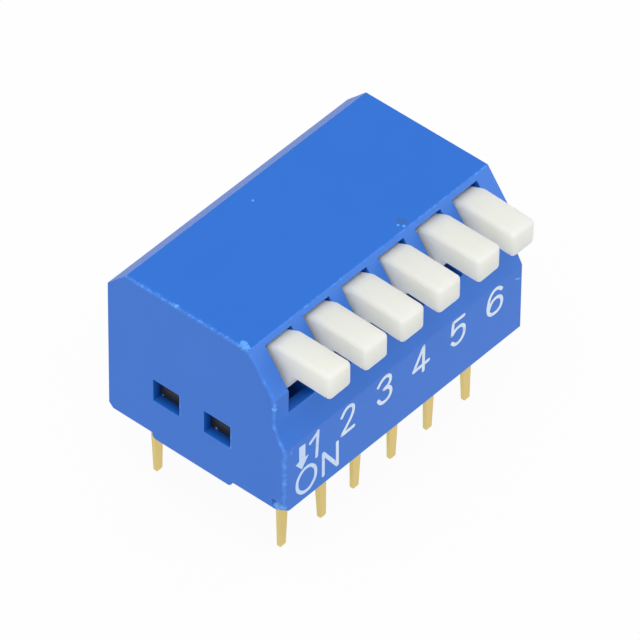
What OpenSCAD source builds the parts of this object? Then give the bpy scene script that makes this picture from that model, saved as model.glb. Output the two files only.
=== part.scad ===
// Six-position piano-type DIP switch for through-hole mounting.
// Origin: the centre of the pin grid, on the surface of the circuit board.
// +X runs along the row from position 1 to 6, the levers point to -Y, +Z is up.

/* [Pin grid] */
// Distance from one position to the next
pitch = 2.54; // [2.4:0.01:2.8]
// Distance between the front and back rows of pins
row_spacing = 7.62; // [7.4:0.01:8.2]

/* [Cover] */
// Bottom edge of the cover to its top face
cover_h = 8.75; // [8.2:0.05:9.6]
// Front pin row to the front face
front_margin = 1.73; // [1.6:0.01:1.9]
// Back pin row to the back face
back_margin = 1.23; // [1.15:0.01:1.8]
// Height of the stand-off feet under the end walls
standoff = 0.3; // [0.15:0.05:0.6]
// Length of each stand-off foot
foot_len = 4.8; // [3:0.1:6]
// Radius at the ends of the feet
foot_r = 0.25; // [0.05:0.05:0.3]
// How far the lever panel is set back from the front face
panel_setback = 0.61; // [0.5:0.01:0.7]
// Top face down to the bottom of the sloping band
band_drop = 4.85; // [4.6:0.05:5.2]
// Top face down to the bottom of the lever panel
panel_drop = 3.78; // [3.7:0.01:4.2]
// Top face down to the top of the lever panel
slope_drop = 2.14; // [1.9:0.01:2.5]
// Front face to the front edge of the top face
brow_setback = 2.18; // [2:0.01:2.3]
// Chamfer along the top back edge
back_chamfer = 1.1; // [0.5:0.05:1.3]
// Chamfer along the bottom back edge
skirt_chamfer = 0.25; // [0.1:0.05:0.4]
// Thickness of the top wall
top_wall = 0.8; // [0.7:0.05:0.9]
// Thickness of the sloping wall above the levers
slope_wall = 0.7; // [0.6:0.01:0.75]
// Thickness of the back wall
back_wall = 0.7; // [0.5:0.05:0.8]
// Thickness of the front wall behind the lever panel
panel_wall = 0.56; // [0.45:0.01:0.6]
// Thickness of the end walls around the base
end_wall = 0.665; // [0.5:0.005:0.7]
// Depth of the flake that is missing low on the left end face
flake_in = 0.12; // [0.05:0.01:0.15]
// Height of the missing flake
flake_h = 0.42; // [0.3:0.02:0.6]
// Length of the missing flake
flake_len = 0.5; // [0.3:0.02:0.8]
// Height of the break at the bottom front left corner
break_up = 0.28; // [0.1:0.02:0.4]
// Length of the break along the front face
break_side = 0.35; // [0.1:0.05:0.5]
// Length of the break along the end face
break_back = 0.54; // [0.1:0.02:0.6]

/* [Slots and windows] */
// Gap on each side of a lever in its slot
lever_gap = 0.09; // [0.09:0.01:0.15]
// Levers' pivot down to the ledge under a slot
ledge_drop = 1.52; // [1.5:0.01:1.7]
// Top face down to the upper edge of a slot
lip_drop = 0.25; // [0.2:0.05:0.35]
// How far a slot is cut back above the levers, behind the top face's front edge
lip_in = 0.75; // [0.6:0.05:1]
// Width of a latch window
window_w = 1.58; // [1.2:0.02:1.8]
// Height of a latch window
window_h = 1.3; // [1.1:0.01:1.4]
// Middle of the end face to the middle of a window
window_y = 1.53; // [1.3:0.01:1.8]
// Bottom edge of the cover to the bottom of a window
window_low = 2.09; // [1.95:0.01:2.2]
// How far the thin part of an end wall reaches above the windows
rebate_over = 0.51; // [0.4:0.01:0.8]

/* [Levers] */
// Width of a lever
lever_w = 1.54; // [1.3:0.01:1.6]
// How far a lever stands out of the front face
finger_out = 1.61; // [1.2:0.01:2]
// Front face to the levers' pivot
pivot_setback = 4.3; // [4.2:0.05:4.4]
// Pivot up to the underside of the finger at its tip
finger_low = 0.35; // [0.3:0.01:0.5]
// Thickness of the finger at its tip
tip_t = 1.43; // [1.1:0.01:1.45]
// Radius of the corners at the finger's tip
finger_r = 0.2; // [0.1:0.05:0.3]
// How far the finger's top rises from its tip to its brow
brow_rise = 0.09; // [0:0.01:0.1]
// How far the brow stays in front of the top face's front edge
brow_gap = 0.75; // [0.7:0.05:1]
// Length of the bevel behind the brow
bevel_len = 0.77; // [0.7:0.01:0.9]
// How far the bevel behind the brow falls
bevel_fall = 0.35; // [0.3:0.01:0.45]
// How far the finger's underside rises from its tip to its chin
chin_rise = 0.08; // [0.02:0.01:0.2]
// Front face back to the chin
chin_in = 0.45; // [0.3:0.01:0.5]
// Front face back to the underside of the neck
neck_in = 0.95; // [0.8:0.01:1]
// Pivot down to the underside of the neck
neck_drop = 0.45; // [0.3:0.01:0.5]
// Front face back to the heel, where the neck meets the hub
heel_in = 1.35; // [1.3:0.05:1.6]
// Pivot down to the heel
heel_drop = 0.85; // [0.7:0.01:0.88]
// Radius of the round hub
hub_r = 0.92; // [0.8:0.01:0.98]
// Running gap between the hub and the top wall
hub_gap = 0.23; // [0.15:0.01:0.3]
// Radius of the trunnions
trunnion_r = 0.45; // [0.35:0.01:0.5]
// Running gap around a trunnion
trunnion_gap = 0.05; // [0.03:0.01:0.08]
// Space between the ends of two neighbouring trunnions
trunnion_space = 0.34; // [0.2:0.02:0.5]
// Half the angle that a lever turns through
half_throw = 9; // [7:0.5:9]
// Width of the lower arm
arm_w = 1.3; // [1.1:0.02:1.4]
// Half the thickness of the arm where it leaves the hub
arm_root = 0.75; // [0.6:0.05:0.85]
// Half the thickness of the arm's foot
foot_half = 0.32; // [0.28:0.02:0.36]
// Plastic above the contact's strip in the foot
foot_over = 0.2; // [0.15:0.01:0.3]
// Plastic under the contact's strip in the foot
foot_under = 0.1; // [0.05:0.01:0.12]

/* [Contacts and terminals] */
// Bottom edge of the cover to the level part of the fixed contacts
pad_h = 2.1; // [2:0.05:2.2]
// Length of the level run between a front terminal's bend and its arch
pad_run = 0.62; // [0.5:0.01:0.7]
// Thickness of the terminal strip
strip_t = 0.22; // [0.18:0.01:0.28]
// Width of the fixed contact pads
pad_w = 0.9; // [0.7:0.02:1.1]
// Width of a pin at the board
pin_w = 0.64; // [0.5:0.01:0.8]
// Width of a pin at its tip
tip_w = 0.4; // [0.25:0.01:0.5]
// Size of the bevels round a pin's tip
tip_bevel = 0.07; // [0.02:0.01:0.1]
// Length of a pin below the board's surface
pin_len = 4.1; // [3:0.1:4.5]
// Inner radius of the bend in a terminal
bend_r = 0.13; // [0.05:0.01:0.2]
// Thickness of the moving contact's strip
clip_t = 0.15; // [0.1:0.01:0.2]
// Width of the moving contact
clip_w = 0.8; // [0.6:0.02:0.9]
// Outer radius of the moving contact's curled feet
curl_r = 0.31; // [0.26:0.01:0.34]
// Moving contact's middle to each of its feet
curl_y = 0.62; // [0.5:0.01:0.7]
// Gap between the moving and the fixed contacts
wipe_gap = 0.03; // [0.02:0.01:0.05]

/* [Base] */
// Bottom edge of the cover to the underside of the base
base_recess = 0.15; // [0:0.05:0.3]
// Thickness of the latch legs inside the end walls
latch_t = 0.27; // [0.2:0.01:0.5]
// Height of the low ribs between the contacts
divider_h = 0.72; // [0.5:0.02:0.9]
// Half the length of a bearing post
post_half = 0.95; // [0.8:0.01:1]
// Gap between the base and the cover
seat_gap = 0.02; // [0.01:0.01:0.04]
// How far a latch stands into its window
latch_out = 0.2; // [0.1:0.01:0.3]
// Depth of the sealing well around each pin
well_depth = 0.2; // [0.1:0.05:0.3]

/* [Hidden] */
$fn = 48;

positions = 6;
// Where each lever rests in its slot, as a share of the gap
lever_rest = [0.2, 0.1, -0.45, -0.6, -0.2, -0.6];
// How far each lever is turned to the right, and how far its tip is raised, in degrees
lever_turn = [0.8, 0.2, 0, -0.2, 1.3, -0.2];
lever_raise = [0.4, 0.2, 0, 0.2, -0.2, -0.8];
// How far a cutting solid runs past the surface that it cuts
cut = 0.5;

slot_w = lever_w + 2 * lever_gap;
web_w = pitch - slot_w;
bay_edge = pitch * (positions - 1) / 2 + slot_w / 2;
x_rebate = bay_edge + latch_t + 2 * seat_gap;
cover_l = 2 * (x_rebate + end_wall);

y_leg = row_spacing / 2;
y_front = -y_leg - front_margin;
y_back = y_leg + back_margin;
y_wall_front = y_front + panel_setback + panel_wall;
y_wall_back = y_back - back_wall;

z_edge = standoff;
z_top = z_edge + cover_h;
z_ceiling = z_top - top_wall;
z_rebate = z_edge + window_low + window_h + rebate_over;

y_pivot = y_front + pivot_setback;
z_pivot = z_ceiling - hub_gap - hub_r;
bearing_r = trunnion_r + trunnion_gap;
trunnion_end = (pitch - trunnion_space) / 2;

// The fixed contacts follow an arc round the pivot between these two level runs
z_pad = z_edge + pad_h;
bend_out = bend_r + strip_t;
y_bend = y_leg + strip_t / 2 - bend_out;
arc_half = y_pivot + y_bend - pad_run;
contact_r = sqrt(pow(arc_half, 2) + pow(z_pivot - z_pad, 2));
arc_end = atan(arc_half / (z_pivot - z_pad));
// Angles from straight down where the front arc stops and the back arc starts
front_pad_end = 4;
back_pad_start = 10;
z_plate = z_pad - strip_t;
z_divider = z_plate + divider_h;
z_base = z_edge + base_recess;

// The moving contact, measured down from the pivot with the lever's arm upright
curl_down = sqrt(pow(contact_r - wipe_gap - curl_r, 2) - curl_y * curl_y);
clip_top = -curl_down + curl_r;

// Centre of the bay of position i, counted from 1
function bay_x(i) = (i - (positions + 1) / 2) * pitch;

// A profile drawn in the YZ plane, extruded along X about x = 0
module along_x(w) {
    rotate([90, 0, 90])
        linear_extrude(height = w, center = true)
            children();
}

// A rectangle given by two opposite corners
module span(low, high) {
    translate(low)
        square([high[0] - low[0], high[1] - low[1]]);
}

// A wedge below the pivot, from angle a to angle b, positive towards the back
module wedge(a, b) {
    far = 2 * contact_r;
    polygon([[0, 0], far * [sin(a), -cos(a)], far * [sin(b), -cos(b)]]);
}

// A ring between two radii
module ring(outer_r, inner_r) {
    difference() {
        circle(outer_r, $fn = 180);
        circle(inner_r, $fn = 180);
    }
}

// Outline of the cover's end face
module cover_outline() {
    polygon([
        [y_front, z_edge],
        [y_front, z_top - band_drop],
        [y_front + panel_setback, z_top - panel_drop],
        [y_front + panel_setback, z_top - slope_drop],
        [y_front + brow_setback, z_top],
        [y_back - back_chamfer, z_top],
        [y_back, z_top - back_chamfer],
        [y_back, z_edge + skirt_chamfer],
        [y_back - skirt_chamfer, z_edge]
    ]);
}

// Section of one bay, from the base up to the ceiling
module bay_outline() {
    run = brow_setback - panel_setback;
    // Level distance through the sloping wall
    through = slope_wall * sqrt(run * run + slope_drop * slope_drop) / slope_drop;
    z_knee = z_top - slope_drop + (panel_wall - through) * slope_drop / run;
    y_brow = y_front + brow_setback + through - top_wall * run / slope_drop;
    inner_chamfer = back_chamfer - back_wall * 0.7;
    polygon([
        [y_wall_front, z_edge],
        [y_wall_front, z_knee],
        [y_brow, z_ceiling],
        [y_wall_back - inner_chamfer, z_ceiling],
        [y_wall_back, z_ceiling - inner_chamfer],
        [y_wall_back, z_edge]
    ]);
}

// Section of the slot that a lever comes out of
module slot_outline() {
    y_deep = y_front + brow_setback + lip_in;
    z_ledge = z_pivot - ledge_drop;
    polygon([
        [y_front - cut, z_ledge],
        [y_wall_front + cut / 2, z_ledge],
        [y_deep, z_ceiling - lip_drop],
        [y_deep, z_top - lip_drop],
        [y_front - cut, z_top - lip_drop]
    ]);
}

// A stand-off foot with rounded ends, seen from the end of the row
module foot_outline() {
    half = foot_len / 2;
    for (side = [-1, 1])
        translate([side * (half - foot_r), foot_r])
            circle(foot_r);
    span([foot_r - half, 0], [half - foot_r, z_edge + cut]);
    span([-half, foot_r], [half, z_edge + cut]);
}

// Side view of a bearing post, grown all round by a gap
module post_outline(grow) {
    span([y_pivot - post_half - grow, z_base - grow], [y_pivot + post_half + grow, z_pivot]);
}

// Moulded cover: six bays with slots in front, latch windows and feet in the end walls
module cover() {
    color([0.20, 0.42, 0.84])
        difference() {
            union() {
                along_x(cover_l)
                    cover_outline();
                for (side = [-1, 1])
                    translate([side * (cover_l - end_wall) / 2, 0, 0])
                        along_x(end_wall)
                            foot_outline();
            }
            for (i = [1:positions])
                translate([bay_x(i), 0, 0]) {
                    along_x(slot_w)
                        bay_outline();
                    along_x(slot_w)
                        slot_outline();
                }
            cover_underside();
            for (side = [-1, 1])
                translate([side * (x_rebate + end_wall), 0, 0])
                    along_x(2 * end_wall)
                        for (at = [-1, 1])
                            translate([at * window_y - window_w / 2, z_edge + window_low])
                                square([window_w, window_h]);
            corner_break();
        }
}

// A flake and the tip of the corner are missing where the left end meets the front
module corner_break() {
    z_low = z_edge + 0.15;
    translate([-cover_l / 2, y_front + 0.2 + flake_len, 0])
        rotate([90, 0, 0])
            linear_extrude(height = flake_len)
                polygon([
                    [-cut, z_low],
                    [0, z_low],
                    [flake_in, z_low + flake_h],
                    [-cut, z_low + flake_h]
                ]);
    // The break is a flat that meets the three edges of the corner
    tilt = atan2(1 / break_up, norm([1 / break_side, 1 / break_back]));
    translate([-cover_l / 2, y_front, z_edge + break_up])
        rotate([0, tilt, 180 + atan2(1 / break_back, 1 / break_side)])
            translate([0, -1, -1])
                cube(2);
}

// Room in the cover for the base, its posts and latches, and the upper half of each bearing
module cover_underside() {
    along_x(2 * x_rebate) {
        span([y_wall_front, z_edge - cut], [y_wall_back, z_divider + seat_gap]);
        post_outline(seat_gap);
        translate([y_pivot, z_pivot])
            circle(bearing_r);
    }
    // The end walls are thinner where the latches stand
    for (side = [-1, 1])
        translate([side * (x_rebate + bay_edge) / 2, 0, 0])
            along_x(x_rebate - bay_edge)
                span([y_wall_front, z_edge], [y_wall_back, z_rebate]);
}

// Moulded base: plate with an arched trough, low ribs, bearing posts and end latches
module base() {
    color([0.08, 0.08, 0.09])
        difference() {
            union() {
                base_plate();
                for (i = [1:positions - 1])
                    translate([bay_x(i) + pitch / 2, 0, 0])
                        along_x(web_w) {
                            base_outline(z_divider);
                            post_outline(0);
                        }
                for (side = [-1, 1])
                    base_end(side);
            }
            translate([0, y_pivot, z_pivot])
                along_x(cover_l)
                    circle(bearing_r);
            for (i = [1:positions])
                for (side = [-1, 1])
                    translate([bay_x(i), side * y_leg, 0])
                        terminal_hole(side);
        }
}

// Side view of the base up to the height z
module base_outline(z) {
    span([y_wall_front + seat_gap, z_base], [y_wall_back - seat_gap, z]);
}

// Plate with a trough under the contacts and a ridge between the two pads
module base_plate() {
    along_x(2 * (x_rebate - seat_gap)) {
        difference() {
            base_outline(z_plate);
            translate([y_pivot, z_pivot])
                circle(contact_r + strip_t + seat_gap, $fn = 180);
        }
        translate([y_pivot, z_pivot])
            intersection() {
                ring(contact_r + 2 * strip_t, contact_r + strip_t / 3);
                wedge(front_pad_end + 1, back_pad_start - 1);
            }
    }
}

// Bearing post and two latches at one end of the base
module base_end(side) {
    leg_in = bay_edge + seat_gap;
    leg_out = leg_in + latch_t;
    latch_w = window_w - 4 * seat_gap;
    z_catch = z_edge + window_low + seat_gap;
    translate([side * (leg_in + leg_out) / 2, 0, 0])
        along_x(latch_t) {
            post_outline(0);
            for (at = [-1, 1])
                translate([at * window_y - latch_w / 2, z_base])
                    square([latch_w, z_rebate - 4 * seat_gap - z_base]);
        }
    // A latch is flat below, where it catches the window, and slopes back above
    for (at = [-1, 1])
        translate([0, at * window_y + latch_w / 2, 0])
            rotate([90, 0, 0])
                linear_extrude(height = latch_w)
                    polygon([
                        [side * leg_in, z_catch],
                        [side * (leg_out + latch_out), z_catch],
                        [side * (leg_out + latch_out), z_catch + window_h / 3],
                        [side * leg_out, z_catch + window_h * 0.9],
                        [side * leg_in, z_catch + window_h * 0.9]
                    ]);
}

// Slit for a terminal's leg, with relief for its bend and a sealing well below
module terminal_hole(side) {
    translate([-pin_w / 2, -strip_t / 2, z_base])
        cube([pin_w, strip_t, z_plate]);
    translate([-pin_w / 2, (side > 0 ? -bend_out + strip_t / 2 : -strip_t / 2), z_pad - bend_out])
        cube([pin_w, bend_out, cut]);
    translate([-pin_w, -pin_w, z_base - cut])
        cube([2 * pin_w, 2 * pin_w, cut + well_depth]);
}

// Side view of a lever about its pivot, raised, with the arm leaning to the front
module lever_outline() {
    face = -pivot_setback;
    tip = face - finger_out;
    tip_high = finger_low + tip_t;
    brow = face + brow_setback - brow_gap;
    brow_high = tip_high + brow_rise;
    polygon([
        [tip, finger_low + finger_r],
        [tip, tip_high - finger_r],
        [tip + finger_r, tip_high],
        [brow, brow_high],
        [brow + bevel_len, brow_high - bevel_fall],
        [-hub_r * 1.3, hub_r],
        [0, hub_r],
        [0, -hub_r],
        [face + heel_in, -heel_drop],
        [face + neck_in, -neck_drop],
        [face + chin_in, finger_low + chin_rise],
        [tip + finger_r, finger_low]
    ]);
    for (z = [finger_low + finger_r, tip_high - finger_r])
        translate([tip + finger_r, z])
            circle(finger_r);
    circle(hub_r);
}

// Top view of a lever, with round corners at the tip
module lever_plan() {
    tip = -pivot_setback - finger_out;
    half = lever_w / 2;
    for (side = [-1, 1])
        translate([side * (half - finger_r), tip + finger_r])
            circle(finger_r);
    span([finger_r - half, tip], [half - finger_r, hub_r]);
    span([-half, tip + finger_r], [half, hub_r]);
}

// Arm below the hub and the foot that holds the moving contact, with the arm upright
module lever_arm() {
    foot_low = clip_top - clip_t - foot_under;
    foot_high = clip_top + foot_over;
    ankle = foot_half + foot_over;
    difference() {
        along_x(arm_w) {
            polygon([
                [-arm_root, -hub_r / 2],
                [arm_root, -hub_r / 2],
                [ankle, foot_high],
                [-ankle, foot_high]
            ]);
            span([-foot_half, foot_low], [foot_half, foot_high]);
        }
        along_x(clip_w)
            span([-foot_half - cut, clip_top - clip_t], [foot_half + cut, clip_top]);
    }
}

// Places a shape drawn about the pivot at position i
module at_pivot(i) {
    translate([bay_x(i) + lever_rest[i - 1] * lever_gap, y_pivot, z_pivot])
        rotate([-lever_raise[i - 1], 0, lever_turn[i - 1]])
            children();
}

// Lever i: finger, hub, two trunnions and lower arm in one moulding
module lever(i) {
    color([0.93, 0.93, 0.90])
        at_pivot(i) {
            intersection() {
                along_x(lever_w)
                    lever_outline();
                translate([0, 0, -cover_h])
                    linear_extrude(height = 2 * cover_h)
                        lever_plan();
            }
            rotate([0, 90, 0])
                cylinder(r = trunnion_r, h = 2 * trunnion_end, center = true);
            rotate([-half_throw, 0, 0])
                lever_arm();
        }
}

// Side view of the moving contact: a strip with both ends curled under
module clip_outline() {
    span([-curl_y, clip_top - clip_t], [curl_y, clip_top]);
    for (side = [-1, 1])
        translate([side * curl_y, -curl_down])
            difference() {
                circle(curl_r);
                circle(curl_r - clip_t);
                translate([side < 0 ? 0 : -curl_r, 0])
                    square([curl_r, curl_r - clip_t]);
            }
}

// Moving contact i, held in the foot of its lever's arm
module contact(i) {
    color([0.86, 0.72, 0.40])
        at_pivot(i)
            rotate([-half_throw, 0, 0])
                along_x(clip_w)
                    clip_outline();
}

// Front view of a terminal's leg, tapering to the tip of the pin
module leg_outline() {
    neck_w = (pin_w + tip_w) / 2;
    half = [
        [pin_w / 2, z_pad - bend_out],
        [pin_w / 2, -pin_len * 0.3],
        [neck_w / 2, -pin_len * 0.6],
        [tip_w / 2, -pin_len + tip_bevel],
        [tip_w / 2 - tip_bevel, -pin_len]
    ];
    polygon(concat(half, [for (k = [len(half) - 1:-1:0]) [-half[k][0], half[k][1]]]));
}

// Side view of a terminal's leg, bevelled at the tip
module leg_edge() {
    half = strip_t / 2;
    polygon([
        [-half, z_pad],
        [half, z_pad],
        [half, -pin_len + tip_bevel],
        [half - tip_bevel / 2, -pin_len],
        [tip_bevel / 2 - half, -pin_len],
        [-half, -pin_len + tip_bevel]
    ]);
}

// Fixed contact and pin of position i, in the front (-1) or back (1) row
module terminal(i, side) {
    color([0.83, 0.73, 0.46])
        translate([bay_x(i), 0, 0]) {
            translate([0, side * y_leg, 0])
                intersection() {
                    rotate([90, 0, 0])
                        linear_extrude(height = strip_t, center = true)
                            leg_outline();
                    along_x(pin_w)
                        leg_edge();
                }
            along_x(pin_w)
                terminal_bend(side);
            along_x(pad_w)
                terminal_pad(side);
        }
}

// Quarter bend between a terminal's leg and its pad
module terminal_bend(side) {
    translate([side * y_bend, z_pad - bend_out])
        intersection() {
            ring(bend_out, bend_r);
            translate([side > 0 ? 0 : -bend_out, 0])
                square(bend_out);
        }
}

// Level run and arched wiping surface of a terminal's pad
module terminal_pad(side) {
    if (side < 0)
        span([-y_bend, z_plate], [y_pivot - arc_half, z_pad]);
    else
        span([y_pivot + arc_half, z_plate], [y_bend, z_pad]);
    translate([y_pivot, z_pivot])
        intersection() {
            ring(contact_r + strip_t, contact_r);
            if (side < 0)
                wedge(-arc_end, front_pad_end);
            else
                wedge(back_pad_start, arc_end);
        }
}

cover();
base();
for (i = [1:positions]) {
    lever(i);
    contact(i);
    terminal(i, -1);
    terminal(i, 1);
}
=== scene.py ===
# %% [markdown]
# # A six-position DIP switch
#
# The switch is a blue moulded cover on a black base, with six cream levers
# that tip down to switch on, and two rows of gold-plated pins. Its CAD model
# is loaded as a fixed frame. This lesson gives every piece its finish, rounds
# the moulded edges, prints the numbers and sets up a small studio.

# %% Load the frame
import math

import bmesh
import bpy
from mathutils import Euler, Matrix, Vector


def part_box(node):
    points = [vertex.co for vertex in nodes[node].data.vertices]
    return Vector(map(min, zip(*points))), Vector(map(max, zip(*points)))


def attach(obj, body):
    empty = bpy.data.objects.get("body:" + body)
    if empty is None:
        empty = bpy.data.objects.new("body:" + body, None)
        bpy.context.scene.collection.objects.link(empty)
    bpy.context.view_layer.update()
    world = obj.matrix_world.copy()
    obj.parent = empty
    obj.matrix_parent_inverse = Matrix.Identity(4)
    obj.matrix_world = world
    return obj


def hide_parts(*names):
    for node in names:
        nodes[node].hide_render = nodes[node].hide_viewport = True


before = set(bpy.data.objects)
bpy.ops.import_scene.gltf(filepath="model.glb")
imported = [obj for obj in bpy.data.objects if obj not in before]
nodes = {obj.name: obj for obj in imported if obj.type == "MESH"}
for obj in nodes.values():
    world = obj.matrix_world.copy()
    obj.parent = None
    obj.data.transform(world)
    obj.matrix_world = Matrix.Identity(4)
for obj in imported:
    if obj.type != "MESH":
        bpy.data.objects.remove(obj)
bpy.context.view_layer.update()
POSITIONS = 6
PITCH = 2.54
MM = 0.001

# %% [markdown]
# ## The camera
#
# A long lens far from a small object gives almost parallel edges, as in a
# product photograph. The camera is described the way a photographer would:
# the point it aims at, how far away it stands, how far it is turned to the
# left and raised, and the slight tilt of its horizon.

# %% Place the camera
AIM = Vector((-0.08, -0.55, 3.42)) * MM
DISTANCE = 394.0 * MM
AZIMUTH = math.radians(-49.22)
ELEVATION = math.radians(43.61)
ROLL = math.radians(0.59)
SENSOR = 36.0
FOCAL_LENGTH = 489.4

camera_data = bpy.data.cameras.new("camera")
camera_data.sensor_width = SENSOR
camera_data.lens = FOCAL_LENGTH
camera_data.clip_start = 10 * MM
camera = bpy.data.objects.new("camera", camera_data)
turn = Euler((math.pi / 2 - ELEVATION, 0, AZIMUTH)).to_matrix()
turn = turn @ Matrix.Rotation(ROLL, 3, "Z")
camera.matrix_world = Matrix.Translation(AIM + turn.col[2] * DISTANCE) @ turn.to_4x4()
bpy.context.scene.collection.objects.link(camera)
bpy.context.scene.camera = camera
bpy.context.scene.view_settings.view_transform = "Standard"
print("camera at", [round(v, 4) for v in camera.matrix_world.translation])

# %% [markdown]
# ## Measures of the cover
#
# Several steps need to know where the cover's faces lie: the wear and the
# painted edge highlights sit on its edges, the rounding keeps to its outer skin,
# and the print lies on its front.
# The box of the CAD piece gives the outer faces, and the corners between them
# follow from the drawing.

# %% Outline of the cover
cover_low, cover_high = (Vector(corner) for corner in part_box("cover"))
END_X = cover_high.x
FRONT_Y = cover_low.y
BACK_Y = cover_high.y
TOP_Z = cover_high.z
# Setbacks are measured from the front face, drops from the top
FOOT_HEIGHT = 0.30 * MM
BROW_SETBACK = 2.18 * MM
PANEL_SETBACK = 0.61 * MM
BAND_DROP = 4.85 * MM
PANEL_DROP = 3.78 * MM
SLOPE_DROP = 2.14 * MM
BACK_CHAMFER = 1.10 * MM
SKIRT_CHAMFER = 0.25 * MM
BOTTOM_Z = cover_low.z + FOOT_HEIGHT
TOP_FRONT_Y = FRONT_Y + BROW_SETBACK
PANEL_Y = FRONT_Y + PANEL_SETBACK
# A point this near to the outline counts as on it
NEAR = 0.004 * MM
# Corners of the end face as (y, z), starting at the bottom of the front face
OUTLINE = [
    (FRONT_Y, BOTTOM_Z),
    (FRONT_Y, TOP_Z - BAND_DROP),
    (PANEL_Y, TOP_Z - PANEL_DROP),
    (PANEL_Y, TOP_Z - SLOPE_DROP),
    (TOP_FRONT_Y, TOP_Z),
    (BACK_Y - BACK_CHAMFER, TOP_Z),
    (BACK_Y, TOP_Z - BACK_CHAMFER),
    (BACK_Y, BOTTOM_Z + SKIRT_CHAMFER),
    (BACK_Y - SKIRT_CHAMFER, BOTTOM_Z),
]


def outline_gap(point):
    """Distance in the side view from a point to the outline of the end face"""
    here = Vector((point.y, point.z))
    gaps = []
    for start, end in zip(OUTLINE, OUTLINE[1:] + OUTLINE[:1]):
        start, way = Vector(start), Vector(end) - Vector(start)
        share = min(max((here - start).dot(way) / way.length_squared, 0), 1)
        gaps.append((here - start - share * way).length)
    return min(gaps)


# %% [markdown]
# ## Small helpers for shader nodes
#
# Each finish below is a short list of nodes. One helper makes a node and
# fills its sockets, either with a value or with a link, and another opens a
# node group with named inputs and outputs.


# %% Helpers for nodes
def add(tree, kind, inputs=None, **settings):
    """A new shader node; inputs holds values or other nodes' output sockets"""
    made = tree.nodes.new("ShaderNode" + kind)
    for name, value in settings.items():
        setattr(made, name, value)
    for name, value in (inputs or {}).items():
        if isinstance(value, bpy.types.NodeSocket):
            tree.links.new(value, made.inputs[name])
        else:
            made.inputs[name].default_value = value
    return made


def maths(tree, operation, *values, clamp=False):
    """The result of a Math node"""
    made = add(tree, "Math", dict(enumerate(values)), operation=operation)
    made.use_clamp = clamp
    return made.outputs[0]


def tint(tree, share, base, over):
    """A colour between two others"""
    made = add(tree, "Mix", {"Factor": share}, data_type="RGBA")
    for socket, value in ((made.inputs[6], base), (made.inputs[7], over)):
        if isinstance(value, bpy.types.NodeSocket):
            tree.links.new(value, socket)
        else:
            socket.default_value = (*value, 1)
    return made.outputs[2]


def open_group(name, inputs, outputs):
    """A node group; inputs maps names to default values, outputs is a list of names"""
    tree = bpy.data.node_groups.new(name, "ShaderNodeTree")
    for label, default in inputs.items():
        kind = "NodeSocketVector" if isinstance(default, Vector) else "NodeSocketFloat"
        socket = tree.interface.new_socket(name=label, in_out="INPUT", socket_type=kind)
        socket.default_value = default
    for label in outputs:
        tree.interface.new_socket(name=label, in_out="OUTPUT", socket_type="NodeSocketFloat")
    return tree, tree.nodes.new("NodeGroupInput").outputs, tree.nodes.new("NodeGroupOutput")


def use_group(tree, group, inputs):
    """The outputs of a node group placed in a material"""
    made = tree.nodes.new("ShaderNodeGroup")
    made.node_tree = group
    for name, value in inputs.items():
        if isinstance(value, bpy.types.NodeSocket):
            tree.links.new(value, made.inputs[name])
        else:
            made.inputs[name].default_value = value
    return made.outputs


def per_metre(feature_mm):
    """Texture scale that gives features of this size in millimetres"""
    return 1 / (feature_mm * MM)


# %% [markdown]
# ## Effects that several finishes share
#
# Moulded plastic is never quite even: a mould leaves a fine grain, and the
# colour drifts a little. Handling adds bright specks and rubs the edges, and the
# soft line along a rubbed edge is also a painted highlight of its rounding. Each
# effect is one node group that puts out a mask or a height, so every material
# can use it with its own sizes.

# %% Group: moulded grain
grain_group, grain_in, grain_out = open_group(
    "Moulded grain", {"Grain size": 0.06, "Drift size": 3.0}, ["Grain", "Drift"]
)


def noise_of_size(tree, size, detail):
    """Noise on Object coordinates with features of a size given in millimetres"""
    place = tree.nodes.new("ShaderNodeTexCoord").outputs["Object"]
    scale = maths(tree, "DIVIDE", per_metre(1), size)
    made = add(tree, "TexNoise", {"Vector": place, "Scale": scale, "Detail": detail})
    return made.outputs["Fac"]


for label, size, detail in (("Grain", "Grain size", 3.0), ("Drift", "Drift size", 2.0)):
    grain_group.links.new(
        noise_of_size(grain_group, grain_in[size], detail), grain_out.inputs[label]
    )

# %% Group: specks
speck_group, speck_in, speck_out = open_group(
    "Specks", {"Spacing": 1.0, "Size": 0.05, "Share": 0.3}, ["Mask"]
)
place = speck_group.nodes.new("ShaderNodeTexCoord").outputs["Object"]
cell_scale = maths(speck_group, "DIVIDE", per_metre(1), speck_in["Spacing"])
cells = add(speck_group, "TexVoronoi", {"Vector": place, "Scale": cell_scale})
reach = maths(speck_group, "DIVIDE", speck_in["Size"], speck_in["Spacing"])
near = maths(speck_group, "LESS_THAN", cells.outputs["Distance"], reach)
dice = add(speck_group, "SeparateColor", {"Color": cells.outputs["Color"]})
chosen = maths(speck_group, "LESS_THAN", dice.outputs["Red"], speck_in["Share"])
speck_group.links.new(maths(speck_group, "MULTIPLY", near, chosen), speck_out.inputs["Mask"])

# %% Group: a patch of small chips
patch_group, patch_in, patch_out = open_group(
    "Chipped patch",
    {"Centre": Vector((0, 0, 0)), "Reach": 0.4, "Chip size": 0.12, "Cover": 0.5},
    ["Mask"],
)
place = patch_group.nodes.new("ShaderNodeTexCoord").outputs["Object"]
offset = add(patch_group, "VectorMath", {0: place, 1: patch_in["Centre"]}, operation="DISTANCE")
reach = maths(patch_group, "MULTIPLY", patch_in["Reach"], MM)
fade = maths(patch_group, "DIVIDE", offset.outputs["Value"], reach)
chips = noise_of_size(patch_group, patch_in["Chip size"], 3.0)
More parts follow.
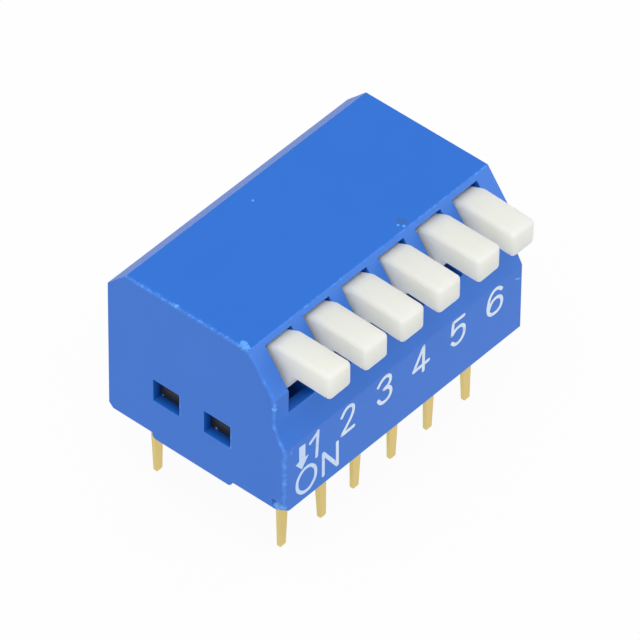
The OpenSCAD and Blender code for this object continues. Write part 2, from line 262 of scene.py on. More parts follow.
# A chip shows where the noise beats a limit that rises away from the centre
limit = maths(patch_group, "ADD", fade, maths(patch_group, "SUBTRACT", 1.0, patch_in["Cover"]))
above = maths(patch_group, "SUBTRACT", maths(patch_group, "MULTIPLY", chips, 2.0), limit)
sharp = maths(patch_group, "MULTIPLY", above, 6.0, clamp=True)
patch_group.links.new(sharp, patch_out.inputs["Mask"])

# %% Group: a worn line with a painted edge highlight
line_group, line_in, line_out = open_group(
    "Worn line and painted highlight",
    {
        "From": Vector((0, 0, 0)),
        "To": Vector((0, 0, 1)),
        "Width": 0.1,
        "Chip size": 0.2,
        "More chips": 0.0,
    },
    ["Line", "Chips"],
)


def arrow(tree, operation, first, second):
    """A Vector Math node; DOT_PRODUCT and DISTANCE give a value, the others a vector"""
    made = add(tree, "VectorMath", {0: first, 1: second}, operation=operation)
    return made.outputs["Value" if operation in ("DOT_PRODUCT", "DISTANCE") else "Vector"]


place = line_group.nodes.new("ShaderNodeTexCoord").outputs["Object"]
way = arrow(line_group, "SUBTRACT", line_in["To"], line_in["From"])
offset = arrow(line_group, "SUBTRACT", place, line_in["From"])
share = maths(
    line_group,
    "DIVIDE",
    arrow(line_group, "DOT_PRODUCT", offset, way),
    arrow(line_group, "DOT_PRODUCT", way, way),
    clamp=True,
)
step = add(line_group, "VectorMath", {0: way, "Scale": share}, operation="SCALE")
gap = arrow(line_group, "DISTANCE", offset, step.outputs["Vector"])
# The gap to the line, as a share of its width
gap = maths(line_group, "DIVIDE", gap, maths(line_group, "MULTIPLY", line_in["Width"], MM))
chip_noise = noise_of_size(line_group, line_in["Chip size"], 3.0)
swing = maths(line_group, "MULTIPLY", maths(line_group, "SUBTRACT", chip_noise, 0.5), 3.0)
# The line itself is soft and only wavers, wear and a painted highlight of the rounded edge; chips
# are sharp and sit where the noise is high
soft = maths(line_group, "SUBTRACT", maths(line_group, "ADD", swing, 1.2), gap, clamp=True)
sharp = maths(line_group, "MULTIPLY_ADD", swing, 2.2, line_in["More chips"])
sharp = maths(line_group, "SUBTRACT", sharp, gap)
line_group.links.new(soft, line_out.inputs["Line"])
line_group.links.new(maths(line_group, "MULTIPLY", sharp, 5.0, clamp=True), line_out.inputs["Chips"])
print("node groups:", [group.name for group in bpy.data.node_groups])


# %% [markdown]
# ## Materials
#
# The cover is satin blue plastic, so its base colour is a strong blue with
# very little red; the white studio adds the paler veil on faces that are seen
# at a slant. Wear is a lighter blue, because a rubbed or chipped plastic edge
# scatters light; the soft lines along the edges are also a painted highlight.
# The cover's colour also holds a painted sheen on its sloping faces and painted
# shade in its windows, slot floors and the left of the band.

# %% Start a material
def start_material(name, **values):
    """A material with its Principled shader's plain sockets set"""
    material = bpy.data.materials.new(name)
    material.use_nodes = True
    tree = material.node_tree
    shader = tree.nodes["Principled BSDF"]
    for label, value in values.items():
        shader.inputs[label.replace("_", " ")].default_value = value
    return material, tree, shader


def bumpy(tree, shader, height, depth_mm, strength=1.0):
    """Feeds a height through a Bump node into a shader's normal"""
    bump = add(tree, "Bump", {"Height": height, "Distance": depth_mm * MM, "Strength": strength})
    tree.links.new(bump.outputs["Normal"], shader.inputs["Normal"])


def spread(tree, value, low, high):
    """A 0 to 1 value spread between two others"""
    made = add(tree, "MapRange", {"Value": value, "To Min": low, "To Max": high})
    return made.outputs["Result"]


def combine(tree, masks):
    """The strongest of several masks"""
    result = masks[0]
    for mask in masks[1:]:
        result = maths(tree, "MAXIMUM", result, mask)
    return result


# %% Where the cover is worn
# All places are in millimetres, in the frame of the CAD model
def left_end(k):
    """Corner k of the outline on the left end face"""
    return Vector((-END_X, *OUTLINE[k])) / MM


def right_end(k):
    """Corner k of the outline on the right end face"""
    return Vector((END_X, *OUTLINE[k])) / MM


TOP_MM = TOP_Z / MM
FRONT_MM = FRONT_Y / MM
WINDOW_UP = 2.09
WINDOW_TALL = 1.30
WINDOW_LOW = BOTTOM_Z / MM + WINDOW_UP
WINDOW_HIGH = WINDOW_LOW + WINDOW_TALL


def window_side(y, low_or_high):
    """An end of the upright edge of a latch window in the left end face"""
    return Vector((-END_X / MM, y, low_or_high))


# Where each worn line, which is also a painted edge highlight, starts and ends, its
# width, the size of its chips, and how much more or less of it is chipped
WORN_AND_HIGHLIGHT_LINES = [
    # Round the left end, from the bottom of the front to the back of the top
    (left_end(0), left_end(1), 0.15, 0.25, -0.35),
    (left_end(1), left_end(2), 0.13, 0.30, -0.45),
    (left_end(2), left_end(3), 0.13, 0.30, -0.45),
    (left_end(3), left_end(4), 0.13, 0.30, -0.35),
    (left_end(4), left_end(5), 0.14, 0.14, -0.20),
    # Along the front of the top, from end to end
    (left_end(4), right_end(4), 0.06, 0.30, -0.50),
    # The edge of each latch window that is nearer to the front
    (window_side(0.74, WINDOW_LOW), window_side(0.74, WINDOW_HIGH), 0.06, 0.2, 0.0),
    (window_side(-2.32, WINDOW_LOW), window_side(-2.32, WINDOW_HIGH), 0.06, 0.2, 0.0),
    # Short scratches on the front face, near its two ends
    (Vector((7.68, FRONT_MM, 3.62)), Vector((8.05, FRONT_MM, 3.40)), 0.035, 0.2, 0.5),
    (Vector((-7.75, FRONT_MM, 3.78)), Vector((-7.62, FRONT_MM, 4.12)), 0.045, 0.3, 0.5),
]
# Patches of small chips: centre, reach, chip size, how much is covered
CHIP_PATCHES = [
    (Vector((-7.96, -2.86, TOP_MM)), 0.34, 0.11, 0.57),
    (Vector((-8.05, -3.12, TOP_MM)), 0.32, 0.13, 0.58),
    (Vector((-8.12, 0.96, TOP_MM)), 0.12, 0.10, 1.0),
    (Vector((-8.14, -4.89, 6.41)), 0.13, 0.14, 0.85),
    (Vector((2.42, -2.96, TOP_MM)), 0.07, 0.10, 1.0),
    (Vector((2.56, -3.19, TOP_MM)), 0.08, 0.10, 1.0),
    (Vector((-0.70, 2.98, TOP_MM)), 0.07, 0.30, 1.0),
    (Vector((-8.10, -5.15, 0.62)), 0.42, 0.30, 0.75),
]
PIT = Vector((2.72, -2.87, TOP_MM))

# %% Blue cover
BLUE = (0.010, 0.163, 0.70)
BLUE_DEEP = (0.007, 0.152, 0.66)
# Colour of rubbed wear and of the painted highlight along the edges
RUBBED_AND_HIGHLIGHT_BLUE = (0.045, 0.235, 0.84)
# Painted sheen colour for the sloping faces
SHEEN_BLUE = (0.052, 0.215, 0.76)
CHIP_BLUE = (0.120, 0.400, 1.0)
SMUDGE_BLUE = (0.030, 0.130, 0.42)
# Painted shade colour for the windows, the slot floors and the left of the band
PAINTED_SHADE_BLUE = (0.004, 0.024, 0.170)
# How strongly each kind of wear covers the blue
SMUDGE_SHARE = 0.7
SMALL_CHIP_SHARE = 0.65
SPECK_SHARE = 0.5

cover_blue, tree, shader = start_material("cover_blue", Specular_IOR_Level=0.5)
grain = use_group(tree, grain_group, {"Grain size": 0.05, "Drift size": 2.6})
colour = tint(tree, grain["Drift"], BLUE_DEEP, BLUE)
# Painted sheen: the sloping faces round the levers are painted paler where light reflects from them,
# most at the right end
painted_sheen = add(tree, "Attribute", attribute_name="painted_sheen").outputs["Fac"]
colour = tint(tree, painted_sheen, colour, SHEEN_BLUE)
# Painted shade: the walls of the latch windows and the floors of the slots are
# painted darker, more the deeper they go, and the band darker towards its left end
painted_shade = add(tree, "Attribute", attribute_name="painted_shade").outputs["Fac"]
colour = tint(tree, painted_shade, colour, PAINTED_SHADE_BLUE)
lines = [
    use_group(
        tree,
        line_group,
        {"From": a * MM, "To": b * MM, "Width": width, "Chip size": chip, "More chips": more},
    )
    for a, b, width, chip, more in WORN_AND_HIGHLIGHT_LINES
]
# Rubbed wear along the edges, whose soft line is also a painted highlight of the rounded edge
colour = tint(tree, combine(tree, [line["Line"] for line in lines]), colour, RUBBED_AND_HIGHLIGHT_BLUE)
patches = [
    use_group(
        tree,
        patch_group,
        {"Centre": centre * MM, "Reach": reach, "Chip size": chip, "Cover": cover},
    )
    for centre, reach, chip, cover in CHIP_PATCHES
]
smudge = use_group(
    tree, patch_group, {"Centre": PIT * MM, "Reach": 0.38, "Chip size": 0.5, "Cover": 0.60}
)
colour = tint(tree, maths(tree, "MULTIPLY", smudge["Mask"], SMUDGE_SHARE), colour, SMUDGE_BLUE)
small_chips = combine(tree, [line["Chips"] for line in lines])
colour = tint(tree, maths(tree, "MULTIPLY", small_chips, SMALL_CHIP_SHARE), colour, CHIP_BLUE)
colour = tint(tree, combine(tree, [patch["Mask"] for patch in patches]), colour, CHIP_BLUE)
specks = use_group(tree, speck_group, {"Spacing": 1.6, "Size": 0.035, "Share": 0.12})
colour = tint(tree, maths(tree, "MULTIPLY", specks["Mask"], SPECK_SHARE), colour, CHIP_BLUE)
tree.links.new(colour, shader.inputs["Base Color"])
tree.links.new(spread(tree, grain["Grain"], 0.34, 0.50), shader.inputs["Roughness"])
bumpy(tree, shader, grain["Grain"], 0.004)

# %% Cream levers
CREAM = (0.828, 0.828, 0.738)
CREAM_WARM = (0.808, 0.801, 0.704)
lever_white, tree, shader = start_material(
    "lever_white",
    Specular_IOR_Level=0.5,
    Subsurface_Weight=1.0,
    Subsurface_Radius=(1.0, 0.95, 0.85),
    Subsurface_Scale=2.5 * MM,
)
grain = use_group(tree, grain_group, {"Grain size": 0.06, "Drift size": 1.8})
tree.links.new(tint(tree, grain["Drift"], CREAM_WARM, CREAM), shader.inputs["Base Color"])
tree.links.new(spread(tree, grain["Grain"], 0.38, 0.52), shader.inputs["Roughness"])
bumpy(tree, shader, grain["Grain"], 0.004)

# %% Black base
BLACK = (0.009, 0.013, 0.016)
BLACK_WORN = (0.018, 0.019, 0.025)
DUST_AND_SPOT_GREY = (0.34, 0.36, 0.38)
# A pale spot on each latch of the left end: its place in millimetres and its reach
LATCH_SPOTS = [(Vector((-7.70, 2.17, 2.46)), 0.07), (Vector((-7.70, -1.06, 2.45)), 0.07)]
base_black, tree, shader = start_material("base_black", Specular_IOR_Level=0.45)
grain = use_group(tree, grain_group, {"Grain size": 0.07, "Drift size": 1.5})
colour = tint(tree, grain["Drift"], BLACK, BLACK_WORN)
specks = use_group(tree, speck_group, {"Spacing": 0.7, "Size": 0.03, "Share": 0.25})
latch_spots = [
    use_group(
        tree,
        patch_group,
        {"Centre": centre * MM, "Reach": reach, "Chip size": 0.3, "Cover": 1.0},
    )
    for centre, reach in LATCH_SPOTS
]
dust_and_spots = combine(tree, [specks["Mask"]] + [latch_spot["Mask"] for latch_spot in latch_spots])
colour = tint(tree, dust_and_spots, colour, DUST_AND_SPOT_GREY)
tree.links.new(colour, shader.inputs["Base Color"])
tree.links.new(spread(tree, grain["Grain"], 0.42, 0.62), shader.inputs["Roughness"])
bumpy(tree, shader, grain["Grain"], 0.005)

# %% Gold-plated strip
GOLD = (0.775, 0.59, 0.21)
GOLD_PALE = (0.735, 0.59, 0.24)
GOLD_CUT = (0.76, 0.64, 0.25)


def gold(name, roughness):
    """Thin gold plating over stamped strip, with lines drawn along the strip"""
    material, tree, shader = start_material(name, Metallic=0.95)
    place = tree.nodes.new("ShaderNodeTexCoord").outputs["Object"]
    # Squeezing the coordinates across the strip makes long lines along it
    squeezed = add(tree, "Mapping", {"Vector": place, "Scale": (1, 1, 0.06)}, vector_type="POINT")
    lines = add(
        tree,
        "TexNoise",
        {"Vector": squeezed.outputs["Vector"], "Scale": per_metre(0.05), "Detail": 2.0},
    ).outputs["Fac"]
    grain = use_group(tree, grain_group, {"Grain size": 0.08, "Drift size": 0.9})
    colour = tint(tree, grain["Drift"], GOLD_PALE, GOLD)
    cut_side = add(tree, "Attribute", attribute_name="cut").outputs["Fac"]
    colour = tint(tree, maths(tree, "MULTIPLY", cut_side, 0.8), colour, GOLD_CUT)
    tree.links.new(colour, shader.inputs["Base Color"])
    rough = spread(tree, lines, roughness - 0.06, roughness + 0.08)
    rough = maths(tree, "ADD", rough, maths(tree, "MULTIPLY", cut_side, 0.06))
    tree.links.new(rough, shader.inputs["Roughness"])
    bumpy(tree, shader, lines, 0.003)
    return material


terminal_gold = gold("terminal_gold", 0.42)
contact_gold = gold("contact_gold", 0.30)

# %% Printing ink
INK = (0.76, 0.87, 0.98)
INK_FIRST = (0.62, 0.77, 1.0)
INK_THIN = (0.42, 0.58, 0.92)
printing_ink, tree, shader = start_material("printing_ink", Specular_IOR_Level=0.4)
grain = use_group(tree, grain_group, {"Grain size": 0.05, "Drift size": 0.35})
thin = maths(tree, "MULTIPLY", maths(tree, "SUBTRACT", grain["Drift"], 0.55), 3.0, clamp=True)
# The pad left less ink on the marks of the first position
place = add(tree, "SeparateXYZ", {"Vector": tree.nodes.new("ShaderNodeTexCoord").outputs["Object"]})
after_first = add(
    tree, "MapRange", {"Value": place.outputs["X"], "From Min": -5.2 * MM, "From Max": -4.4 * MM}
)
ink = tint(tree, after_first.outputs["Result"], INK_FIRST, INK)
tree.links.new(tint(tree, thin, ink, INK_THIN), shader.inputs["Base Color"])
tree.links.new(spread(tree, grain["Grain"], 0.45, 0.65), shader.inputs["Roughness"])
print("materials:", [material.name for material in bpy.data.materials if material.users])

# %% [markdown]
# ## Rounding the moulded edges
#
# No moulded or stamped edge is perfectly sharp, and the thin highlight on a
# rounded edge is much of what makes a small part look real. A CAD node is a
# set of loose triangles. A copy of it is merged, its flat triangles are joined
# into whole faces, and then only chosen edges are bevelled.


# %% Helpers for meshes
SMOOTH_BELOW = math.radians(32)
FLAT_BELOW = math.radians(1)
# Corners closer than this, in metres, are one corner
SAME_PLACE = 1e-7


def whole_faces(node):
    """A bmesh copy of a CAD node with its triangles merged into whole faces"""
    bm = bmesh.new()
    bm.from_mesh(nodes[node].data)
    bmesh.ops.remove_doubles(bm, verts=bm.verts, dist=SAME_PLACE)
    bmesh.ops.dissolve_limit(bm, angle_limit=FLAT_BELOW, verts=bm.verts, edges=bm.edges)
    return bm


def is_corner(edge, least_deg=20):
    """True for an outward edge where two faces meet at an angle"""
    return edge.is_manifold and edge.calc_face_angle_signed() > math.radians(least_deg)


def round_off(bm, edges, width_mm, segments=3):
    """Bevels edges and returns how many faces that makes"""
    made = bmesh.ops.bevel(
        bm,
        geom=edges,
        offset=width_mm * MM,
        offset_type="OFFSET",
        segments=segments,
        profile=0.5,
        affect="EDGES",
        clamp_overlap=False,
        material=-1,
    )
    return len(made["faces"])


def finish_piece(bm, name, material):
    """Turns a bmesh into an object with soft shading over its rounded edges"""
    mesh = bpy.data.meshes.new(name)
    bm.to_mesh(mesh)
    bm.free()
    mesh.materials.append(material)
    mesh.shade_smooth()
    mesh.set_sharp_from_angle(angle=SMOOTH_BELOW)
    piece = bpy.data.objects.new(name, mesh)
    bpy.context.scene.collection.objects.link(piece)
    soften = piece.modifiers.new("Weighted normals", "WEIGHTED_NORMAL")
    soften.keep_sharp = True
    return piece


# %% [markdown]
# ## The cover
#
# Only the outer skin is rounded: the outline of the end faces, the long edges
# from end to end, and the mouths of the slots. An edge belongs to the skin when
# both its ends lie on the outline that the end faces show. Two attributes, read
# by the blue finish, mark a painted sheen on the sloping faces and painted shade
# on the faces of the latch windows and slots and on the left of the band.

# %% Round the cover's edges
COVER_EDGE = 0.03
SHORTEST_EDGE = 0.1 * MM
# Share of the painted sheen or painted shade colour on the upper slope, the band and the ledges
PAINTED_SHEEN_SLOPE = 0.75
PAINTED_SHEEN_BAND = 0.45
PAINTED_SHADE_BAND = 0.07
PAINTED_SHADE_LEDGE = 0.8
# Window walls reach this deep, and get the full painted shade from the second depth on
WINDOW_DEPTH = 0.7 * MM
WINDOW_SHADE_DEPTH = 0.55 * MM
WELL_INSIDE = 1.5 * MM
# Ledges lie this near to the lever panel and this far below the top
LEDGE_REACH = 1.3 * MM
LEDGE_BELOW = 2.5 * MM
LEDGE_LEAST = 0.3 * MM
LEDGE_SHADE_DEPTH = 0.8 * MM
bm = whole_faces("cover")
skin_edges = [
    edge
    for edge in bm.edges
    if is_corner(edge)
    and edge.calc_length() > SHORTEST_EDGE
    and all(outline_gap(vert.co) < NEAR for vert in edge.verts)
]
made = round_off(bm, skin_edges, COVER_EDGE, segments=2)
painted_sheen = bm.loops.layers.float.new("painted_sheen")
painted_shade = bm.loops.layers.float.new("painted_shade")
# Painted sheen on the sloping faces, growing towards the right end along the band, and painted shade
# on the band towards its left end
for face in bm.faces:
    if face.normal.y < -0.7 and 0.3 < face.normal.z < 0.7:
        upper = face.calc_center_median().z > TOP_Z - SLOPE_DROP
        for loop in face.loops:
            rightwards = (loop.vert.co.x + END_X) / (2 * END_X)
            loop[painted_sheen] = PAINTED_SHEEN_SLOPE if upper else PAINTED_SHEEN_BAND * rightwards
            loop[painted_shade] = 0 if upper else PAINTED_SHADE_BAND * (1 - rightwards)
window_faces = [
    face
    for face in bm.faces
    if abs(face.normal.x) < 0.1
    and all(END_X - abs(vert.co.x) < WINDOW_DEPTH for vert in face.verts)
    and all(outline_gap(vert.co) > WELL_INSIDE for vert in face.verts)
]
# Painted shade on the walls of the latch windows, darker the deeper they go
for face in window_faces:
    for loop in face.loops:
        loop[painted_shade] = min((END_X - abs(loop.vert.co.x)) / WINDOW_SHADE_DEPTH, 1)
ledge_faces = [
    face
    for face in bm.faces
    if face.normal.z > 0.7
    and all(vert.co.y < PANEL_Y + LEDGE_REACH for vert in face.verts)
    and all(vert.co.z < TOP_Z - LEDGE_BELOW for vert in face.verts)
    and max(outline_gap(vert.co) for vert in face.verts) > LEDGE_LEAST
]
# Painted shade on the slot floors, darker the further they lie inside the outline
for face in ledge_faces:
    for loop in face.loops:
        loop[painted_shade] = min(outline_gap(loop.vert.co) / LEDGE_SHADE_DEPTH, 1) * PAINTED_SHADE_LEDGE
cover = finish_piece(bm, "cover_moulding", cover_blue)
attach(cover, "housing")
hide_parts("cover")
print("cover:", len(skin_edges), "edges rounded into", made, "faces")
print("soiled faces:", len(window_faces), "in the windows,", len(ledge_faces), "in the slots")

# %% [markdown]
# ## The levers
#
# A lever's finger is rounded all over with a generous radius, and only the
# trunnions and the hidden arm stay crisp. The CAD finger
# already has a small radius at its tip, which would be in the way of a larger
# one, so the tip is made square again before the whole finger is rounded. Each
# lever is set straight for this step and turned back afterwards.

# %% Round the levers
FINGER_EDGE = 0.24
TIP_ROUND = 0.2 * MM
PIVOT_Y = FRONT_Y + 4.30 * MM
PIVOT_Z = TOP_Z - 1.95 * MM
# The finger starts this far in front of the pivot, and its two sides are its largest faces
FINGER_START = 1.1 * MM
LEAST_SIDE = 3 * MM * MM
# Each lever sits a little askew: degrees turned to the right, and degrees raised
LEVER_TURN = [0.8, 0.2, 0, -0.2, 1.3, -0.2]
LEVER_RAISE = [0.4, 0.2, 0, 0.2, -0.2, -0.8]


def lever_pose(i):
    """The slight turn of lever i about its pivot"""
    pivot = Matrix.Translation(((i - (POSITIONS + 1) / 2) * PITCH * MM, PIVOT_Y, PIVOT_Z))
    turned = Matrix.Rotation(math.radians(LEVER_TURN[i - 1]), 4, "Z")
    raised = Matrix.Rotation(math.radians(-LEVER_RAISE[i - 1]), 4, "X")
    return pivot @ turned @ raised @ pivot.inverted()


def square_tip(bm):
    """Moves the rounded tip of a finger out to its four square corners"""
    upright = [face for face in bm.faces if abs(face.normal.x) > 0.999]
    sides = [face for face in upright if face.calc_area() > LEAST_SIDE]
    left = min(face.calc_center_median().x for face in sides)
    right = max(face.calc_center_median().x for face in sides)
    tip = min(vert.co.y for vert in bm.verts)
    front = [vert for vert in bm.verts if vert.co.y < tip + TIP_ROUND * 1.01]
    low = min(vert.co.z for vert in front)
    high = max(vert.co.z for vert in front)
    for vert in front:
        vert.co.x = left if vert.co.x < (left + right) / 2 else right
        vert.co.y = tip
        vert.co.z = low if vert.co.z < (low + high) / 2 else high
    bmesh.ops.remove_doubles(bm, verts=bm.verts, dist=SAME_PLACE)
    bmesh.ops.dissolve_degenerate(bm, dist=SAME_PLACE, edges=bm.edges)
    bmesh.ops.dissolve_limit(bm, angle_limit=FLAT_BELOW, verts=bm.verts, edges=bm.edges)
    bm.normal_update()


for i in range(1, POSITIONS + 1):
    bm = whole_faces(f"lever_{i}")
    pose = lever_pose(i)
    bmesh.ops.transform(bm, matrix=pose.inverted(), verts=bm.verts)
    square_tip(bm)
    finger_edges = [
        edge
        for edge in bm.edges
        if is_corner(edge, 8) and max(vert.co.y for vert in edge.verts) < PIVOT_Y - FINGER_START
    ]
    made = round_off(bm, finger_edges, FINGER_EDGE, segments=5)
    bmesh.ops.transform(bm, matrix=pose, verts=bm.verts)
    lever = finish_piece(bm, f"lever_{i}_moulding", lever_white)
    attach(lever, f"switch_lever_{i}")
    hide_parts(f"lever_{i}")
print("levers:", len(finger_edges), "edges each, rounded into", made, "faces")

# %% [markdown]
# ## The pins
#
# Each terminal is stamped from strip. Stamping leaves broad smooth faces and
# rougher cut sides, so the sides are marked with an attribute of their own
# before the sharp corners of the pin are broken. Handling has bent some of the
# pins slightly.

# %% Break the pins' corners
PIN_EDGE = 0.025
PIN_TOP = 1.9 * MM
STRAIGHT_PIN = (0.0, 0.0)
# How far the tip of each pin is bent to the right and to the front, in millimetres
BENT = {
    "front": [(-0.03, 0.0), (0.04, 0.136), (-0.09, 0.0), (-0.05, 0.0), (-0.05, 0.0), (0.05, 0.04)],
    "back": [(-0.11, 0.18)] + (POSITIONS - 1) * [STRAIGHT_PIN],
}


def bend_pin(bm, right, forward):
    """Leans the free part of a pin, more towards its tip"""
    low = min(vert.co.z for vert in bm.verts)
    for vert in bm.verts:
        share = max(0, vert.co.z / low)
        vert.co.x += right * MM * share
        vert.co.y -= forward * MM * share


for row, bends in BENT.items():
    for i in range(1, POSITIONS + 1):
        name = f"terminal_{row}_{i}"
        bm = whole_faces(name)
        cut = bm.faces.layers.float.new("cut")
        for face in bm.faces:
            face[cut] = 1.0 if abs(face.normal.x) > 0.9 else 0.0
        pin_edges = [
            edge
            for edge in bm.edges
            if is_corner(edge, 40) and max(vert.co.z for vert in edge.verts) < PIN_TOP
        ]
        made = round_off(bm, pin_edges, PIN_EDGE, segments=2)
        bend_pin(bm, *bends[i - 1])
        pin = finish_piece(bm, f"{name}_strip", terminal_gold)
        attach(pin, "housing")
        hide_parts(name)
print("pins:", 2 * POSITIONS, "with", made, "edge faces each")

# %% [markdown]
# ## Pieces that keep their CAD mesh
#
# The base and the moving contacts are mostly hidden, and their shape is right
# as it is, so they only change material.

# %% Dress the base and the contacts
for name, node in nodes.items():
    if name == "base":
        node.material_slots[0].material = base_black
    elif name.startswith("contact"):
        node.material_slots[0].material = contact_gold

# %% [markdown]
# ## The printed marks
#
# Ink is pressed on with a pad, so a mark is a thin film with soft round ends.
# Each stroke is a curve with a round section. As a mesh it gets a ball at each
# end, and then everything is pressed flat against the front face.

# %% Shapes of the marks
STROKE = 0.205
# Strokes are lines of (x, z) points in millimetres from the middle of the foot
SMOOTH, STRAIGHT = True, False
DIGITS = {
    1: [(STRAIGHT, [(-0.08, 1.12), (0.41, 1.45)]), (STRAIGHT, [(0.43, 1.49), (0.35, 0.0)])],
    2: [
        (SMOOTH, [(-0.48, 1.13), (-0.26, 1.40), (-0.02, 1.49), (0.24, 1.39), (0.31, 1.13)]
            + [(0.20, 0.81), (-0.06, 0.47), (-0.48, 0.01)]),
        (STRAIGHT, [(-0.48, 0.01), (0.34, 0.04)]),
    ],
    3: [
        (SMOOTH, [(-0.54, 1.18), (-0.32, 1.40), (-0.06, 1.50), (0.20, 1.42), (0.30, 1.18)]
            + [(0.18, 0.92), (-0.16, 0.79)]),
        (SMOOTH, [(-0.16, 0.79), (0.19, 0.71), (0.34, 0.44), (0.24, 0.13), (-0.05, 0.0)]
            + [(-0.35, 0.07), (-0.52, 0.31)]),
    ],
    4: [
        (STRAIGHT, [(0.05, 1.50), (-0.63, 0.37)]),
        (STRAIGHT, [(-0.63, 0.35), (0.40, 0.40)]),
        (STRAIGHT, [(0.05, 1.50), (0.04, 0.0)]),
    ],
    5: [
        (STRAIGHT, [(0.29, 1.44), (-0.44, 1.45)]),
        (STRAIGHT, [(-0.44, 1.45), (-0.51, 0.70)]),
        (SMOOTH, [(-0.51, 0.70), (-0.27, 0.90), (0.03, 0.95), (0.27, 0.83), (0.34, 0.54)]
            + [(0.27, 0.22), (0.03, 0.01), (-0.28, 0.01), (-0.50, 0.21)]),
    ],
    6: [
        (SMOOTH, [(0.39, 1.21), (0.22, 1.38), (-0.08, 1.44), (-0.37, 1.23), (-0.52, 0.82)]
            + [(-0.54, 0.42), (-0.39, 0.11), (-0.11, 0.0), (0.24, 0.07), (0.41, 0.34)]
            + [(0.39, 0.64), (0.20, 0.85), (-0.08, 0.89), (-0.34, 0.72), (-0.50, 0.41)]),
    ],
}
LETTER_N = [
    (STRAIGHT, [(0.82, 0.01), (0.81, 1.36)]),
    (STRAIGHT, [(0.82, 1.36), (1.76, 0.0)]),
    (STRAIGHT, [(1.78, 0.0), (1.76, 1.39)]),
]
LETTER_N_LOW = 0.83
O_CENTRE = (-0.335, 1.463)
O_RADII = (0.638, 0.73)
ARROW = [(-0.85, 3.78), (-0.43, 3.75), (-0.43, 2.91), (-0.20, 2.91)]
ARROW += [(-0.66, 2.31), (-1.07, 2.82), (-0.84, 2.90)]
# The digits climb slightly along the row, as the print does
DIGIT_LOW = 2.39
DIGIT_CLIMB = 0.021


# %% Draw the strokes
FILM = 0.008


def stroke_mesh(points, smooth, closed=False):
    """A tube along points given in millimetres"""
    curve = bpy.data.curves.new("stroke", "CURVE")
    curve.dimensions = "3D"
    curve.bevel_depth = STROKE / 2
    curve.bevel_resolution = 3
    curve.resolution_u = 8
    spline = curve.splines.new("BEZIER")
    spline.use_cyclic_u = closed
    spline.bezier_points.add(len(points) - 1)
    for point, (x, z) in zip(spline.bezier_points, points):
        point.co = (x, 0, z)
        point.handle_left_type = point.handle_right_type = "AUTO" if smooth else "VECTOR"
    holder = bpy.data.objects.new("stroke", curve)
    bpy.context.scene.collection.objects.link(holder)
    shaped = holder.evaluated_get(bpy.context.evaluated_depsgraph_get())
    mesh = bpy.data.meshes.new_from_object(shaped)
    bpy.data.objects.remove(holder)
    return mesh


def add_stroke(bm, smooth, points, x, z):
    """Adds one stroke, with a ball at each end, at a place on the front face"""
    mesh = stroke_mesh(points, smooth)
    before = set(bm.verts)
    bm.from_mesh(mesh)
    bpy.data.meshes.remove(mesh)
    for end_x, end_z in (points[0], points[-1]):
        bmesh.ops.create_uvsphere(
            bm,
            u_segments=16,
            v_segments=8,
            radius=STROKE / 2,
            matrix=Matrix.Translation((end_x, 0, end_z)),
        )
    fresh = [vert for vert in bm.verts if vert not in before]
    bmesh.ops.translate(bm, verts=fresh, vec=(x, 0, z))


marks = bmesh.new()
for digit, strokes in DIGITS.items():
    bay = (digit - (POSITIONS + 1) / 2) * PITCH
    for smooth, points in strokes:
        add_stroke(marks, smooth, points, bay, DIGIT_LOW + DIGIT_CLIMB * (digit - 1))
first_bay = -(POSITIONS - 1) / 2 * PITCH
for smooth, points in LETTER_N:
    add_stroke(marks, smooth, points, first_bay, LETTER_N_LOW)

# %% Draw the O and the arrow
ring_points = [
    (
        O_CENTRE[0] + O_RADII[0] * math.sin(step * math.pi / 4),
        O_CENTRE[1] + O_RADII[1] * math.cos(step * math.pi / 4),
    )
    for step in range(8)
]
before = set(marks.verts)
ring_mesh = stroke_mesh(ring_points, SMOOTH, closed=True)
marks.from_mesh(ring_mesh)
bpy.data.meshes.remove(ring_mesh)
outline = [marks.verts.new((x, STROKE / 2, z)) for x, z in ARROW]
arrow_face = marks.faces.new(outline)
grown = bmesh.ops.extrude_face_region(marks, geom=[arrow_face])
front_verts = [item for item in grown["geom"] if isinstance(item, bmesh.types.BMVert)]
bmesh.ops.translate(marks, verts=front_verts, vec=(0, -STROKE, 0))
fresh = [vert for vert in marks.verts if vert not in before]
bmesh.ops.translate(marks, verts=fresh, vec=(first_bay, 0, 0))

# %% Press the marks onto the cover
bmesh.ops.recalc_face_normals(marks, faces=marks.faces)
bmesh.ops.scale(marks, verts=marks.verts, vec=(1, 2 * FILM / STROKE, 1))
bmesh.ops.scale(marks, verts=marks.verts, vec=(MM, MM, MM))
bmesh.ops.translate(marks, verts=marks.verts, vec=(0, FRONT_Y, 0))
marks_piece = finish_piece(marks, "printed_marks", printing_ink)
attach(marks_piece, "housing")
print("marks:", len(marks_piece.data.polygons), "faces")

# %% [markdown]
# ## Studio
#
# The switch stands on its pins on a pale floor. Camera and mirror rays see the
# floor almost white, while its own diffuse share keeps the soft shadow. The
# sky gives even light from all sides, and one wide lamp above adds the slight
# difference between the top and the sides.

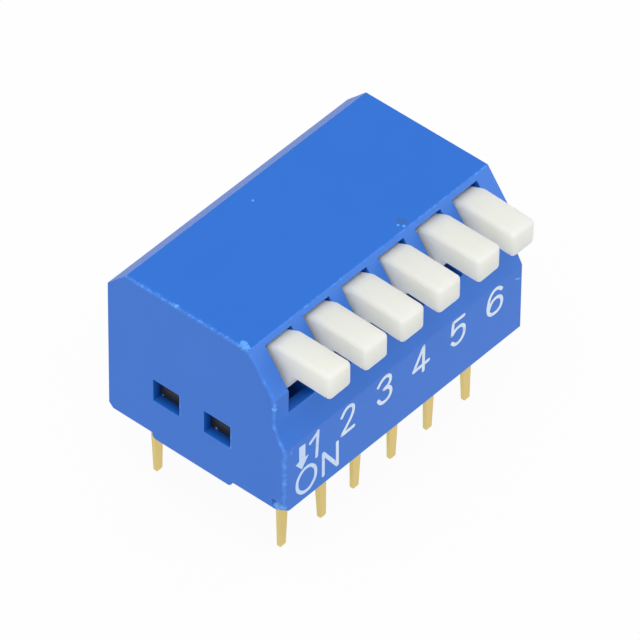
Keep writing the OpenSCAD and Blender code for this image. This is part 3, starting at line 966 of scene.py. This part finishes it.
# %% Floor
FLOOR_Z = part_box("terminal_front_1")[0][2]
FLOOR_SIZE = 4.0
bm = bmesh.new()
bmesh.ops.create_grid(bm, x_segments=1, y_segments=1, size=FLOOR_SIZE / 2)
bmesh.ops.translate(bm, verts=bm.verts, vec=(0, 0, FLOOR_Z))
floor_mesh = bpy.data.meshes.new("floor")
bm.to_mesh(floor_mesh)
bm.free()
floor = bpy.data.objects.new("floor", floor_mesh)
bpy.context.scene.collection.objects.link(floor)

floor_paper = bpy.data.materials.new("floor_paper")
floor_paper.use_nodes = True
tree = floor_paper.node_tree
shader = tree.nodes["Principled BSDF"]
shader.inputs["Base Color"].default_value = (0.85, 0.85, 0.85, 1)
shader.inputs["Roughness"].default_value = 0.9
shader.inputs["Specular IOR Level"].default_value = 0.0
WHITE_SHARE = 0.95
rays = tree.nodes.new("ShaderNodeLightPath").outputs
seen = maths(tree, "MAXIMUM", rays["Is Camera Ray"], rays["Is Glossy Ray"])
seen = maths(tree, "MAXIMUM", seen, rays["Is Transmission Ray"])
glow = add(tree, "Emission", {"Color": (1, 1, 1, 1), "Strength": 1.0})
mix = add(tree, "MixShader", {"Fac": maths(tree, "MULTIPLY", seen, WHITE_SHARE)})
tree.links.new(shader.outputs[0], mix.inputs[1])
tree.links.new(glow.outputs[0], mix.inputs[2])
tree.links.new(mix.outputs[0], tree.nodes["Material Output"].inputs["Surface"])
floor_mesh.materials.append(floor_paper)

# %% Sky and lamps
SKY = 0.62
world = bpy.data.worlds.new("studio")
world.use_nodes = True
bpy.context.scene.world = world
tree = world.node_tree
rays = tree.nodes.new("ShaderNodeLightPath").outputs
white = maths(tree, "MULTIPLY", rays["Is Camera Ray"], 1 - SKY)
strength = maths(tree, "ADD", white, SKY)
tree.links.new(strength, tree.nodes["Background"].inputs["Strength"])
tree.nodes["Background"].inputs["Color"].default_value = (1, 1, 1, 1)


def softbox(name, place, size, power):
    """A square lamp that faces the switch"""
    lamp = bpy.data.lights.new(name, "AREA")
    lamp.size = size
    lamp.energy = power
    holder = bpy.data.objects.new(name, lamp)
    place = Vector(place)
    facing = place.to_track_quat("Z", "Y").to_matrix().to_4x4()
    holder.matrix_world = Matrix.Translation(place) @ facing
    bpy.context.scene.collection.objects.link(holder)


softbox("key", place=(-0.20, -0.12, 0.52), size=0.40, power=1.45)
softbox("fill", place=(0.275, -0.40, 0.12), size=0.35, power=0.35)
